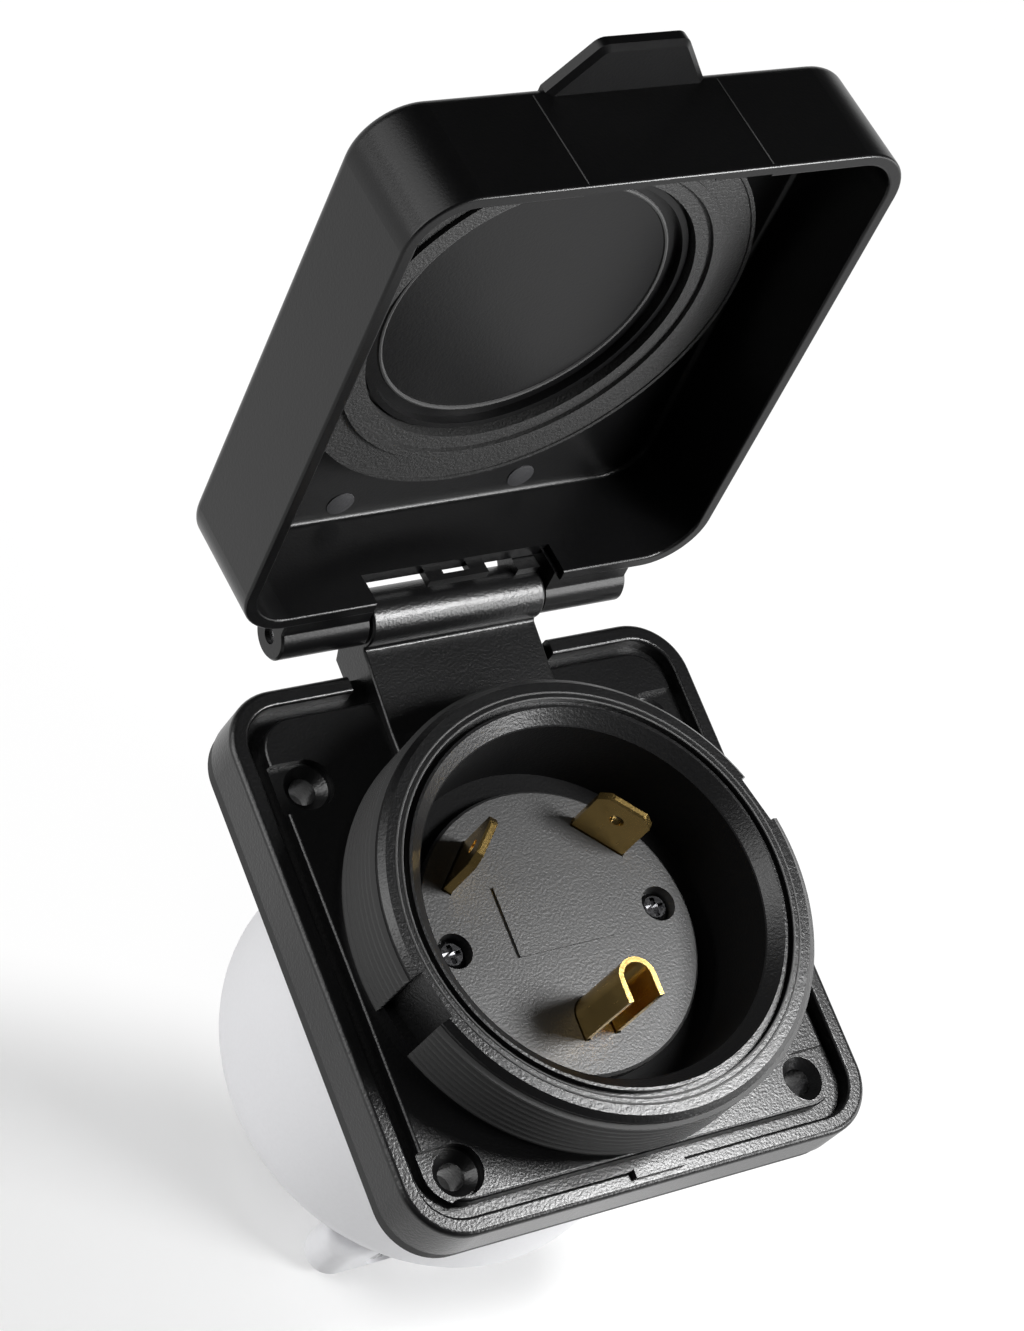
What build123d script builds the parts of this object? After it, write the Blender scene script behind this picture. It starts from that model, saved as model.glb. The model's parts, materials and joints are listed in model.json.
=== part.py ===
from build123d import *
from math import cos, radians, sin
import os

# Caravan power inlet, millimetres. The origin is on the collar axis at the wall, +Z points out of the wall
# and +Y points to the hinge. The lid is drawn shut and then turned open on its stop.

# Collar, from the bore outwards
bore_d = 63.2
bore_draft = 1.0
collar_wall = 8.1
collar_height = 16.1
collar_lead = 1.0
mouth_chamfer = 2.4
mouth_depth = 2.4
face_groove_inset = 4.1
face_groove_width = 1.1
face_groove_depth = 1.2
notch_angle = 15.5
notch_width = 8.6
notch_depth = 1.9
notch_foot = 3.5
floor_drop = 3.0
floor_thickness = 4.0

# Flange around the collar
flange_side = 6.6
flange_low = 5.9
flange_high = 12.9
flange_thickness = 9.0
flange_corner = 10.5
rim_width = 3.2
rim_round = 1.0
groove_width = 2.4
groove_depth = 3.0
panel_corner = 6.5
panel_round = 0.6
gasket_thickness = 2.6
gasket_inset = 0.3

# Mounting holes
hole_inset_x = 11.3
hole_inset_y = 10.9
hole_d = 4.8
hole_pocket_d = 9.0
hole_pocket_depth = 1.6
hole_sink_d = 8.0
hole_sink_depth = 1.7

# Hinge
hinge_offset = 7.5
hinge_rise = 5.1
knuckle_r = 4.4
barrel_r = 5.0
bracket_width = 34.8
ramp_low = 1.4
ramp_high = 3.2
bracket_lean = 1.6
bracket_lift = 2.0
bracket_tangent_deg = 53.0
bracket_round = 0.5
bracket_blend = 0.6
knuckle_gap = 0.5
lid_knuckle_length = 16.9
knuckle_chamfer = 0.4
root_recess = 1.0
root_blend = 0.6
pin_d = 3.0
pin_press = 0.02
pin_running = 0.05
pin_recess = 0.9
lid_open_deg = 101.7
stop_clearance = 0.25
heel_inset = 0.5
heel_width = 4.5
heel_reach = 7.0
rim_slot = 3.0

# Catch at the free edge
catch_width = 10.0
catch_thickness = 1.6
catch_height = 1.2
catch_clearance = 0.5

# Lid over the flange
lid_free_side = 1.3
lid_hinge_side = 0.8
lid_gap = 1.2
lid_wall = 2.4
lid_roof = 2.3
lid_corner = 10.5
lid_round = 2.0
lid_rim_round = 0.5
lid_inner_round = 1.0
cutout_margin = 1.5
cutout_height = 6.4
tab_base = 29.6
tab_tip = 15.8
tab_length = 9.2
tab_thickness = 2.6
tab_round = 2.4
tab_chamfer = 0.9
latch_width = 13.2
latch_height = 4.5
latch_depth = 1.1
rest_width = 35.0
rest_height = 2.0
rest_depth = 0.7
tongue_x = -0.5
tongue_width = 12.0
tongue_leg = 3.4
tongue_length = 3.0
tongue_bar = 1.2
tongue_thickness = 1.5

# Lid seal over the collar's front face
seal_margin = 0.9
seal_thickness = 3.0
seal_ridge_inset = 6.2
seal_ridge_width = 1.8
seal_ridge_height = 0.8
seal_lip_width = 0.7
seal_lip_height = 0.3
seal_gap = 0.35
seal_fit = 0.6
rib_inset = 3.0
rib_width = 1.1
rib_height = 1.6

# Contact carrier and its screws
carrier_inset = 5.5
carrier_thickness = 2.1
carrier_chamfer = 0.5
carrier_gasket_thickness = 0.8
carrier_gasket_fit = 0.3
seat_width = 1.8
spigot_clearance = 0.3
spigot_gap = 0.2
pad_width = 19.0
pad_low = -2.8
pad_high = 10.0
pad_height = 0.5
carrier_screw_inset = 3.7
carrier_screw_y = 0.9
carrier_screw_length = 16.0
carrier_head_d = 5.4
carrier_head_height = 2.0
carrier_head_recess = 3.4
carrier_recess_d = 6.4

# Contacts
contact_gauge = 1.5
blade_width = 10.4
blade_reach = 12.5
blade_chamfer = 2.0
blade_bevel = 0.35
blade_hole_d = 2.6
blade_hole_drop = 4.6
blade_turn_deg = 45.0
blade_inset = 5.45
blade_place_deg = 46.2
ground_width = 7.0
ground_depth = 7.4
ground_inset = 10.8
ground_gauge = 0.9
ground_reach = 16.6
foot_length = 12.0
foot_width = 9.4
slot_clearance = 0.2

# Terminal block
block_seat = 1.6
block_flange = 3.0
block_length = 20.0
block_floor = 8.0
pocket_margin = 1.1
pocket_back = 0.5
terminal_screw_inset = 6.6
clamp_plate = 9.0
clamp_plate_thickness = 1.6

# Fasteners
screw_d = 3.9
thread_fit = 0.05
screw_clearance = 0.2
screw_run_out = 0.8
pan_head_d = 7.4
pan_head_height = 2.5
pan_head_chamfer = 0.7
drive_d = 3.4
drive_width = 0.9
drive_depth = 0.9
terminal_screw_length = 7.0

# Rear cover
cover_overlap = 0.3
cover_wall = 2.6
cover_depth = 52.0
cover_round = 6.0
cover_fit = 0.3
lip_width = 3.6
lip_length = 5.0
boss_d = 8.0
boss_gap = 0.5
boss_length = 7.6
pillar_d = 11.2
pillar_seat = 8.4
pillar_bore_d = 8.6
pillar_rib = 2.4
cover_screw_length = 16.0

# Cable entry and cord clamp
cable_inset = 25.0
cable_hole_d = 19.2
grommet_fit = 0.1
grommet_wall = 1.8
grommet_flange = 2.4
grommet_flange_thickness = 2.0
grommet_nose = 2.0
saddle_leg = 12.4
saddle_length = 13.0
saddle_wall = 3.6
saddle_drop = 6.6
clamp_overhang = 7.0
clamp_width = 11.0
clamp_thickness = 9.0
clamp_round = 2.0
clamp_standoff = 1.4
clamp_screw_inset = 6.0
clamp_head_recess = 3.0
clamp_screw_length = 14.0

# Diameters and outlines worked out from the sizes above
collar_root_d = bore_d + 2 * collar_wall
mouth_d = bore_d + 2 * mouth_chamfer
face_groove_d = collar_root_d - 2 * face_groove_inset
flange_width = collar_root_d + 2 * flange_side
flange_bottom = collar_root_d / 2 + flange_low
flange_top = collar_root_d / 2 + flange_high
hole_spacing_x = flange_width - 2 * hole_inset_x
hole_spacing_y = 2 * (flange_bottom - hole_inset_y)
panel_edge = rim_width + groove_width
lid_free = flange_bottom + lid_free_side
lid_rear = flange_top + lid_hinge_side
seal_outer_d = collar_root_d + 2 * seal_margin
rib_d = bore_d - 2 * rib_inset
carrier_d = bore_d - 2 * carrier_inset
spigot_d = carrier_d - 2 * seat_width
carrier_screw_x = spigot_d / 2 - carrier_screw_inset
blade_r = carrier_d / 2 - blade_inset
blade_x = blade_r * cos(radians(blade_place_deg))
blade_y = blade_r * sin(radians(blade_place_deg))
ground_y = ground_inset - carrier_d / 2
block_d = spigot_d
block_flange_d = spigot_d + 2 * block_seat
cover_d = collar_root_d + 2 * cover_overlap
cover_inner_d = cover_d - 2 * cover_wall
lip_d = cover_inner_d - 2 * cover_fit
cable_y = cable_inset - cover_d / 2
cover_screw_x = block_flange_d / 2 + boss_gap + boss_d / 2
ground_leg = ground_depth - ground_width / 2
saddle_width = cable_hole_d + 2 * saddle_leg
clamp_length = saddle_width + 2 * clamp_overhang
clamp_screw_x = saddle_width / 2 - clamp_screw_inset

# Heights and places worked out from the sizes above
flange_back = gasket_thickness
face_z = flange_back + flange_thickness
collar_z = face_z + collar_height
floor_z = face_z - floor_drop
floor_back = floor_z - floor_thickness
carrier_z = floor_z + carrier_gasket_thickness + carrier_thickness
carrier_back = floor_back + spigot_gap
lid_rim_z = face_z + lid_gap
lid_roof_z = collar_z + seal_gap + seal_ridge_height + seal_thickness
lid_top_z = lid_roof_z + lid_roof
foot_z = floor_back - block_floor
plate_z = foot_z - contact_gauge
terminal_head_z = plate_z - clamp_plate_thickness
cover_back = flange_back - cover_depth
cover_floor = cover_back + cover_wall
boss_end = floor_back - boss_length
pillar_seat_z = boss_end - pillar_seat
saddle_y = cable_y - saddle_drop
clamp_z = cover_back - clamp_standoff - clamp_width / 2
hinge_y = flange_top + hinge_offset
hinge_z = face_z + hinge_rise
bracket_back = hinge_y - bracket_lean
heel_start = bracket_width / 2 - heel_inset - heel_width
knuckle_start = bracket_width / 2 + knuckle_gap
knuckle_end = knuckle_start + lid_knuckle_length
hinge_axis = Axis((0, hinge_y, hinge_z), (1, 0, 0))

# One plane per terminal: its x runs across the contact, its y up and its normal to the collar axis
across = cos(radians(blade_turn_deg))
down = sin(radians(blade_turn_deg))
line_plane = Plane((blade_x, blade_y, 0), x_dir=(across, -down, 0), z_dir=(-down, -across, 0))
neutral_plane = Plane((-blade_x, blade_y, 0), x_dir=(across, down, 0), z_dir=(down, -across, 0))
ground_plane = Plane((0, ground_y, 0), x_dir=(-1, 0, 0), z_dir=(0, 1, 0))
terminal_planes = {"line": line_plane, "neutral": neutral_plane, "ground": ground_plane}

# Places of a cylinder above and below its plane
standing = (Align.CENTER, Align.CENTER, Align.MIN)
hanging = (Align.CENTER, Align.CENTER, Align.MAX)

os.makedirs("parts", exist_ok=True)


def save(part, name):
    part.label = name
    export_step(part, f"parts/{name}.step")


def outline(inset, radius, mode=Mode.ADD):
    """Draw the flange's rounded outline, moved in by the inset, in the current sketch."""
    height = flange_bottom + flange_top - 2 * inset
    with Locations((0, (flange_top - flange_bottom) / 2)):
        RectangleRounded(flange_width - 2 * inset, height, radius, mode=mode)


def terminal_seat(plane, height):
    """A plane across one contact's terminal screw, at the given height, that faces the collar's front."""
    along = plane.origin + plane.z_dir * terminal_screw_inset
    return Plane((along.X, along.Y, height), x_dir=plane.x_dir, z_dir=(0, 0, 1))


def pocket_plane(plane, height):
    """A plane across one contact that faces the wall, with its y running in to the collar axis."""
    return Plane((plane.origin.X, plane.origin.Y, height), x_dir=plane.x_dir, z_dir=(0, 0, -1))


def ground_profile(clearance):
    """Draw the ground pin's folded U, grown by the clearance, in a sketch on its pocket plane."""
    outer_r = ground_width / 2 + clearance
    inner_r = ground_width / 2 - ground_gauge - clearance
    Circle(outer_r)
    with Locations((0, -(ground_leg + clearance) / 2)):
        Rectangle(2 * outer_r, ground_leg + clearance)
    Circle(inner_r, mode=Mode.SUBTRACT)
    with Locations((0, -(ground_leg + clearance) / 2)):
        Rectangle(2 * inner_r, ground_leg + clearance, mode=Mode.SUBTRACT)


def contact_slots(start, end):
    """The three contact slots between two heights, as solids to cut away."""
    with BuildPart() as slots:
        for plane in (line_plane, neutral_plane):
            with BuildSketch(pocket_plane(plane, start)):
                Rectangle(blade_width + 2 * slot_clearance, contact_gauge + 2 * slot_clearance)
            extrude(amount=start - end)
        with BuildSketch(pocket_plane(ground_plane, start)):
            ground_profile(slot_clearance)
        extrude(amount=start - end)
    return slots.part


def pan_screw(seat, length, head_d=pan_head_d, head_height=pan_head_height):
    """A cross-drive screw: the head stands behind the seat plane and the shank goes in along its normal."""
    with BuildPart() as screw:
        with BuildSketch(seat):
            Circle(head_d / 2)
        extrude(amount=-head_height)
        head_end = screw.faces().sort_by(Axis(seat.origin, seat.z_dir))[0]
        chamfer(head_end.edges(), pan_head_chamfer)
        with BuildSketch(seat):
            Circle(screw_d / 2)
        extrude(amount=length)
        with BuildSketch(seat.offset(-head_height)):
            Rectangle(drive_d, drive_width)
            Rectangle(drive_width, drive_d)
        extrude(amount=drive_depth, mode=Mode.SUBTRACT)
    return screw.part


# Hinge bracket: a shallow ramp from the collar up to the centre knuckle
tangent = radians(bracket_tangent_deg)
with BuildPart() as hinge_bracket:
    with BuildSketch(Plane.YZ):
        with BuildLine():
            Polyline(
                (mouth_d / 2, flange_back + bracket_lift),
                (mouth_d / 2, face_z + ramp_low),
                (collar_root_d / 2, face_z + ramp_low),
                (hinge_y - barrel_r / 2, face_z + ramp_high),
                (hinge_y, hinge_z),
                (hinge_y + barrel_r * cos(tangent), hinge_z - barrel_r * sin(tangent)),
                (bracket_back, flange_back + bracket_lift),
                close=True,
            )
        make_face()
        with Locations((hinge_y, hinge_z)):
            Circle(barrel_r)
        fillet(vertices().sort_by_distance((hinge_y - barrel_r, face_z + ramp_high, 0))[0], bracket_blend)
    extrude(amount=bracket_width / 2, both=True)
    fillet(hinge_bracket.faces().filter_by(Plane.YZ).edges(), bracket_round)


# Flange, collar, hinge bracket and catch in one moulding
with BuildPart() as flange_housing:
    with BuildSketch(Plane.XY.offset(flange_back)):
        outline(0, flange_corner)
    extrude(amount=flange_thickness)
    fillet(flange_housing.faces().sort_by(Axis.Z)[-1].edges(), rim_round)

    # Groove between the rim and the raised panel
    with BuildSketch(Plane.XY.offset(face_z)):
        outline(rim_width, flange_corner - rim_width)
        outline(panel_edge, panel_corner, Mode.SUBTRACT)
    extrude(amount=-groove_depth, mode=Mode.SUBTRACT)
    fronts = flange_housing.faces().filter_by(Plane.XY).group_by(Axis.Z)[-1].sort_by(SortBy.AREA)
    fillet(fronts[-1].edges() + fronts[0].inner_wires()[0].edges(), panel_round)

    # Screw pockets, each open to the side of the panel
    pocket_run = hole_inset_x - rim_width - groove_width / 2
    with BuildSketch(Plane.XY.offset(face_z)):
        with GridLocations(hole_spacing_x, hole_spacing_y, 2, 2):
            Circle(hole_pocket_d / 2)
        for side in (-1, 1):
            with Locations((side * (hole_spacing_x + pocket_run) / 2, 0)):
                with GridLocations(0, hole_spacing_y, 1, 2):
                    Rectangle(pocket_run, hole_pocket_d)
    extrude(amount=-hole_pocket_depth, mode=Mode.SUBTRACT)
    with Locations(Plane.XY.offset(face_z - hole_pocket_depth)):
        with GridLocations(hole_spacing_x, hole_spacing_y, 2, 2):
            Cone(hole_d / 2, hole_sink_d / 2, hole_sink_depth, align=hanging, mode=Mode.SUBTRACT)
            Cylinder(hole_d / 2, flange_thickness, align=hanging, mode=Mode.SUBTRACT)

    add(hinge_bracket.part)

    # Stop heel, drawn in the open lid's own directions so that its face meets the lid's rear wall
    swing = radians(-lid_open_deg)
    heel_plane = Plane((heel_start, hinge_y, hinge_z), x_dir=(0, cos(swing), sin(swing)), z_dir=(1, 0, 0))
    heel_face = lid_rear - hinge_y + stop_clearance
    with BuildSketch(heel_plane):
        with BuildLine():
            Polyline(
                (heel_face, 0),
                (heel_face, heel_reach),
                (heel_face + barrel_r / 2, heel_reach),
                (0, barrel_r / 2),
                (0, 0),
                close=True,
            )
        make_face()
    extrude(amount=heel_width)

    # Pin bore and the two slots in the rim beside the bracket
    with BuildSketch(Plane.YZ):
        with Locations((hinge_y, hinge_z)):
            Circle(pin_d / 2 + pin_press)
    extrude(amount=bracket_width / 2, both=True, mode=Mode.SUBTRACT)
    with BuildSketch(Plane.XY.offset(face_z)):
        for side in (-1, 1):
            with Locations((side * (bracket_width + rim_slot) / 2, flange_top - rim_width / 2)):
                Rectangle(rim_slot, rim_width)
    extrude(amount=-groove_depth, mode=Mode.SUBTRACT)

    # Catch on the lower rim, just inside the shut lid's free wall
    catch_y = -lid_free + lid_wall + catch_clearance
    with BuildSketch(Plane.XY.offset(face_z - groove_depth)):
        with Locations((0, catch_y + catch_thickness / 2)):
            Rectangle(catch_width, catch_thickness)
    extrude(amount=groove_depth + catch_height)

    # Collar: one turned profile from the wall lip to the stepped front face
    with BuildSketch(Plane.XZ):
        with BuildLine():
            Polyline(
                (spigot_d / 2 + spigot_clearance, floor_back),
                (lip_d / 2 - lip_width, floor_back),
                (lip_d / 2 - lip_width, flange_back - lip_length),
                (lip_d / 2, flange_back - lip_length),
                (lip_d / 2, flange_back),
                (collar_root_d / 2, flange_back),
                (collar_root_d / 2, collar_z - collar_lead),
                (collar_root_d / 2 - collar_lead, collar_z),
                (mouth_d / 2, collar_z),
                (bore_d / 2, collar_z - mouth_depth),
                (bore_d / 2 - bore_draft, floor_z),
                (spigot_d / 2 + spigot_clearance, floor_z),
                close=True,
            )
        make_face()
    collar_keep = revolve(axis=Axis.Z, mode=Mode.PRIVATE)
    with Locations(Plane.XY.offset(floor_back)):
        Cylinder(collar_root_d / 2, collar_z - floor_back, align=standing, mode=Mode.SUBTRACT)
    with Locations(Plane.XY.offset(flange_back)):
        Cylinder(lip_d / 2 - lip_width, floor_back - flange_back, align=standing, mode=Mode.SUBTRACT)
    add(collar_keep)
    with BuildSketch(Plane.XY.offset(collar_z)):
        Circle(face_groove_d / 2)
        Circle(face_groove_d / 2 - face_groove_width, mode=Mode.SUBTRACT)
    extrude(amount=-face_groove_depth, mode=Mode.SUBTRACT)

    # Two bayonet notches down the outside of the collar
    with BuildSketch(Plane.XY.offset(collar_z)):
        with PolarLocations(collar_root_d / 2 - notch_depth / 2, 2, start_angle=notch_angle):
            Rectangle(notch_depth, notch_width)
    extrude(amount=notch_foot - collar_height, mode=Mode.SUBTRACT)

    # Bosses behind the floor for the rear cover's screws
    with BuildSketch(Plane.XY.offset(floor_back)):
        with GridLocations(2 * cover_screw_x, 0, 2, 1):
            Circle(boss_d / 2)
    extrude(amount=-boss_length)
    with BuildSketch(Plane.XY.offset(boss_end)):
        with GridLocations(2 * cover_screw_x, 0, 2, 1):
            Circle(screw_d / 2 + thread_fit)
    extrude(amount=cover_screw_length - pillar_seat + screw_run_out, mode=Mode.SUBTRACT)
save(flange_housing.part, "flange_housing")


# Flat gasket between the flange and the wall
with BuildPart() as wall_gasket:
    with BuildSketch(Plane.XY):
        outline(gasket_inset, flange_corner - gasket_inset)
        Circle(cover_d / 2 + cover_fit, mode=Mode.SUBTRACT)
        with GridLocations(hole_spacing_x, hole_spacing_y, 2, 2):
            Circle(hole_d / 2, mode=Mode.SUBTRACT)
    extrude(amount=gasket_thickness)
save(wall_gasket.part, "wall_gasket")


# Finger tab on the roof's free edge
with BuildPart() as finger_tab:
    with BuildSketch(Plane.XY.offset(lid_top_z - tab_thickness)):
        with BuildLine():
            Polyline(
                (-tab_base / 2, lid_round - lid_free),
                (-tab_base / 2, -lid_free),
                (-tab_tip / 2, -lid_free - tab_length),
                (tab_tip / 2, -lid_free - tab_length),
                (tab_base / 2, -lid_free),
                (tab_base / 2, lid_round - lid_free),
                close=True,
            )
        make_face()
        fillet(vertices().group_by(Axis.Y)[0], tab_round)
    extrude(amount=tab_thickness)
    chamfer(finger_tab.faces().sort_by(Axis.Z)[0].edges(), tab_chamfer)


# The lid's two knuckles with their roots
with BuildPart() as lid_knuckles:
    root_y = lid_rear - lid_wall / 2
    root_low = lid_rim_z + root_recess
    root_high = hinge_z + knuckle_r
    for side in (-1, 1):
        with BuildSketch(Plane.YZ.offset(side * knuckle_start)):
            with Locations((hinge_y, hinge_z)):
                Circle(knuckle_r)
            with Locations(((hinge_y + root_y) / 2, (root_low + root_high) / 2)):
                Rectangle(hinge_y - root_y, root_high - root_low)
            fillet(vertices().sort_by_distance((hinge_y - knuckle_r, root_low, 0))[0], root_blend)
        extrude(amount=side * lid_knuckle_length)
    ends = lid_knuckles.faces().filter_by(Plane.YZ).group_by(Axis.X)
    chamfer(ends[0].edges() + ends[-1].edges(), knuckle_chamfer)


# Lid, drawn shut
lid_mid_y = (lid_rear - lid_free) / 2
lid_height = lid_rear + lid_free
with BuildPart() as lid:
    with BuildSketch(Plane.XY.offset(lid_rim_z)):
        with Locations((0, lid_mid_y)):
            RectangleRounded(flange_width, lid_height, lid_corner)
    extrude(amount=lid_top_z - lid_rim_z)
    fillet(lid.faces().sort_by(Axis.Z)[-1].edges(), lid_round)

    add(finger_tab.part)

    with BuildSketch(Plane.XY.offset(lid_rim_z)):
        with Locations((0, lid_mid_y)):
            RectangleRounded(flange_width - 2 * lid_wall, lid_height - 2 * lid_wall, lid_corner - lid_wall)
    extrude(amount=lid_roof_z - lid_rim_z, mode=Mode.SUBTRACT)
    fillet(lid.faces().filter_by(Plane.XY).sort_by(Axis.Z)[0].edges(), lid_rim_round)
    fillet(lid.faces().filter_by(Plane.XY).sort_by_distance((0, 0, lid_roof_z))[0].edges(), lid_inner_round)

    # Latch rest and latch pocket inside the free wall
    wall_face = lid_wall - lid_free
    with BuildSketch(Plane.XY.offset(lid_rim_z)):
        with Locations((0, wall_face - rest_depth / 2)):
            Rectangle(rest_width, rest_depth)
    extrude(amount=rest_height, mode=Mode.SUBTRACT)
    with BuildSketch(Plane.XY.offset(lid_rim_z)):
        with Locations((0, wall_face - latch_depth / 2)):
            Rectangle(latch_width, latch_depth)
    extrude(amount=latch_height, mode=Mode.SUBTRACT)

    # Cut-out in the rear wall for the bracket, and the detent tongue that hangs in it
    cutout_top = lid_rim_z + cutout_height
    with BuildSketch(Plane.XY.offset(lid_rim_z)):
        with Locations((0, lid_rear - lid_wall / 2)):
            Rectangle(bracket_width + 2 * cutout_margin, lid_wall)
    extrude(amount=cutout_height, mode=Mode.SUBTRACT)
    with BuildSketch(Plane.XZ.offset(-lid_rear)):
        with Locations((tongue_x, cutout_top - tongue_length / 2)):
            Rectangle(tongue_width, tongue_length)
        with Locations((tongue_x, cutout_top - (tongue_length - tongue_bar) / 2)):
            Rectangle(tongue_width - 2 * tongue_leg, tongue_length - tongue_bar, mode=Mode.SUBTRACT)
    extrude(amount=tongue_thickness)

    # Knuckles and their bore
    add(lid_knuckles.part)
    with BuildSketch(Plane.YZ):
        with Locations((hinge_y, hinge_z)):
            Circle(pin_d / 2 + pin_running)
    extrude(amount=knuckle_end, both=True, mode=Mode.SUBTRACT)

    # Round rib that holds the seal's inner edge
    with BuildSketch(Plane.XY.offset(lid_roof_z)):
        Circle(rib_d / 2 + rib_width / 2)
        Circle(rib_d / 2 - rib_width / 2, mode=Mode.SUBTRACT)
    extrude(amount=-rib_height)
save(lid.part.rotate(hinge_axis, -lid_open_deg), "lid")


# Flat seal with one ridge and an outer lip under the lid's roof, drawn shut
seal_inner = rib_d / 2 + rib_width / 2 + seal_fit
seal_face = lid_roof_z - seal_thickness
with BuildPart() as lid_seal:
    with BuildSketch(Plane.XY.offset(lid_roof_z)):
        Circle(seal_outer_d / 2)
        Circle(seal_inner, mode=Mode.SUBTRACT)
    extrude(amount=-seal_thickness)
    with BuildSketch(Plane.XY.offset(seal_face)):
        Circle(seal_outer_d / 2 - seal_ridge_inset)
        Circle(seal_outer_d / 2 - seal_ridge_inset - seal_ridge_width, mode=Mode.SUBTRACT)
    extrude(amount=-seal_ridge_height)
    with BuildSketch(Plane.XY.offset(seal_face)):
        Circle(seal_outer_d / 2)
        Circle(seal_outer_d / 2 - seal_lip_width, mode=Mode.SUBTRACT)
    extrude(amount=-seal_lip_height)
save(lid_seal.part.rotate(hinge_axis, -lid_open_deg), "lid_seal")


# Hinge pin, held in the bracket
with BuildPart() as hinge_pin:
    with BuildSketch(Plane.YZ):
        with Locations((hinge_y, hinge_z)):
            Circle(pin_d / 2)
    extrude(amount=knuckle_end - pin_recess, both=True)
save(hinge_pin.part, "hinge_pin")


# Contact carrier: face disc, bare pad, spigot through the floor, contact slots and screw holes
carrier_screw_places = [(-carrier_screw_x, carrier_screw_y), (carrier_screw_x, carrier_screw_y)]
with BuildPart() as contact_carrier:
    with BuildSketch(Plane.XY.offset(carrier_z)):
        Circle(carrier_d / 2)
    extrude(amount=-carrier_thickness)
    chamfer(contact_carrier.edges().group_by(Axis.Z)[-1], carrier_chamfer)
    with BuildSketch(Plane.XY.offset(carrier_back)):
        Circle(spigot_d / 2)
    extrude(amount=carrier_z - carrier_thickness - carrier_back)
    with BuildSketch(Plane.XY.offset(carrier_z)):
        with Locations((0, (pad_low + pad_high) / 2)):
            Rectangle(pad_width, pad_high - pad_low)
    extrude(amount=pad_height)
    with BuildSketch(Plane.XY.offset(carrier_z)):
        with Locations(*carrier_screw_places):
            Circle(carrier_recess_d / 2)
    extrude(amount=-carrier_head_recess, mode=Mode.SUBTRACT)
    with BuildSketch(Plane.XY.offset(carrier_z)):
        with Locations(*carrier_screw_places):
            Circle(screw_d / 2 + screw_clearance)
    extrude(amount=carrier_back - carrier_z, mode=Mode.SUBTRACT)
    add(contact_slots(carrier_z, carrier_back), mode=Mode.SUBTRACT)
save(contact_carrier.part, "contact_carrier")


# Flat ring under the carrier's disc
with BuildPart() as carrier_gasket:
    with BuildSketch(Plane.XY.offset(floor_z)):
        Circle(carrier_d / 2 - carrier_gasket_fit)
        Circle(spigot_d / 2 + carrier_gasket_fit, mode=Mode.SUBTRACT)
    extrude(amount=carrier_gasket_thickness)
save(carrier_gasket.part, "carrier_gasket")


# Two screws that pull the terminal block up against the floor
with BuildPart() as carrier_screws:
    for x, y in carrier_screw_places:
        seat = Plane((x, y, carrier_z - carrier_head_recess), x_dir=(1, 0, 0), z_dir=(0, 0, -1))
        add(pan_screw(seat, carrier_screw_length, carrier_head_d, carrier_head_height))
save(carrier_screws.part, "carrier_screws")


def blade(plane):
    """A flat blade with clipped corners and a hole near its tip, bent to a foot under the block's floor."""
    tip = carrier_z + blade_reach
    side = blade_width / 2
    with BuildPart() as contact:
        with BuildSketch(plane):
            with BuildLine():
                Polyline(
                    (-side, plate_z),
                    (side, plate_z),
                    (side, tip - blade_chamfer),
                    (side - blade_chamfer, tip),
                    (blade_chamfer - side, tip),
                    (-side, tip - blade_chamfer),
                    close=True,
                )
            make_face()
            with Locations((0, tip - blade_hole_drop)):
                Circle(blade_hole_d / 2, mode=Mode.SUBTRACT)
        extrude(amount=contact_gauge / 2, both=True)
        chamfer(contact.faces().sort_by(Axis.Z)[-1].edges(), blade_bevel)
        with BuildSketch(plane):
            with Locations((0, foot_z - contact_gauge / 2)):
                Rectangle(foot_width, contact_gauge)
        extrude(amount=foot_length)
        with BuildSketch(terminal_seat(plane, plate_z)):
            Circle(screw_d / 2 + thread_fit)
        extrude(amount=contact_gauge, mode=Mode.SUBTRACT)
    return contact.part


save(blade(line_plane), "line_blade")
save(blade(neutral_plane), "neutral_blade")


# Ground pin: a folded U on a foot of its own
with BuildPart() as ground_pin:
    with BuildSketch(pocket_plane(ground_plane, carrier_z + ground_reach)):
        ground_profile(0)
    extrude(amount=carrier_z + ground_reach - foot_z)
    with BuildSketch(pocket_plane(ground_plane, foot_z)):
        with Locations((0, (foot_length - ground_leg) / 2)):
            Rectangle(foot_width, foot_length + ground_leg)
    extrude(amount=contact_gauge)
    with BuildSketch(terminal_seat(ground_plane, plate_z)):
        Circle(screw_d / 2 + thread_fit)
    extrude(amount=contact_gauge, mode=Mode.SUBTRACT)
save(ground_pin.part, "ground_pin")


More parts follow.
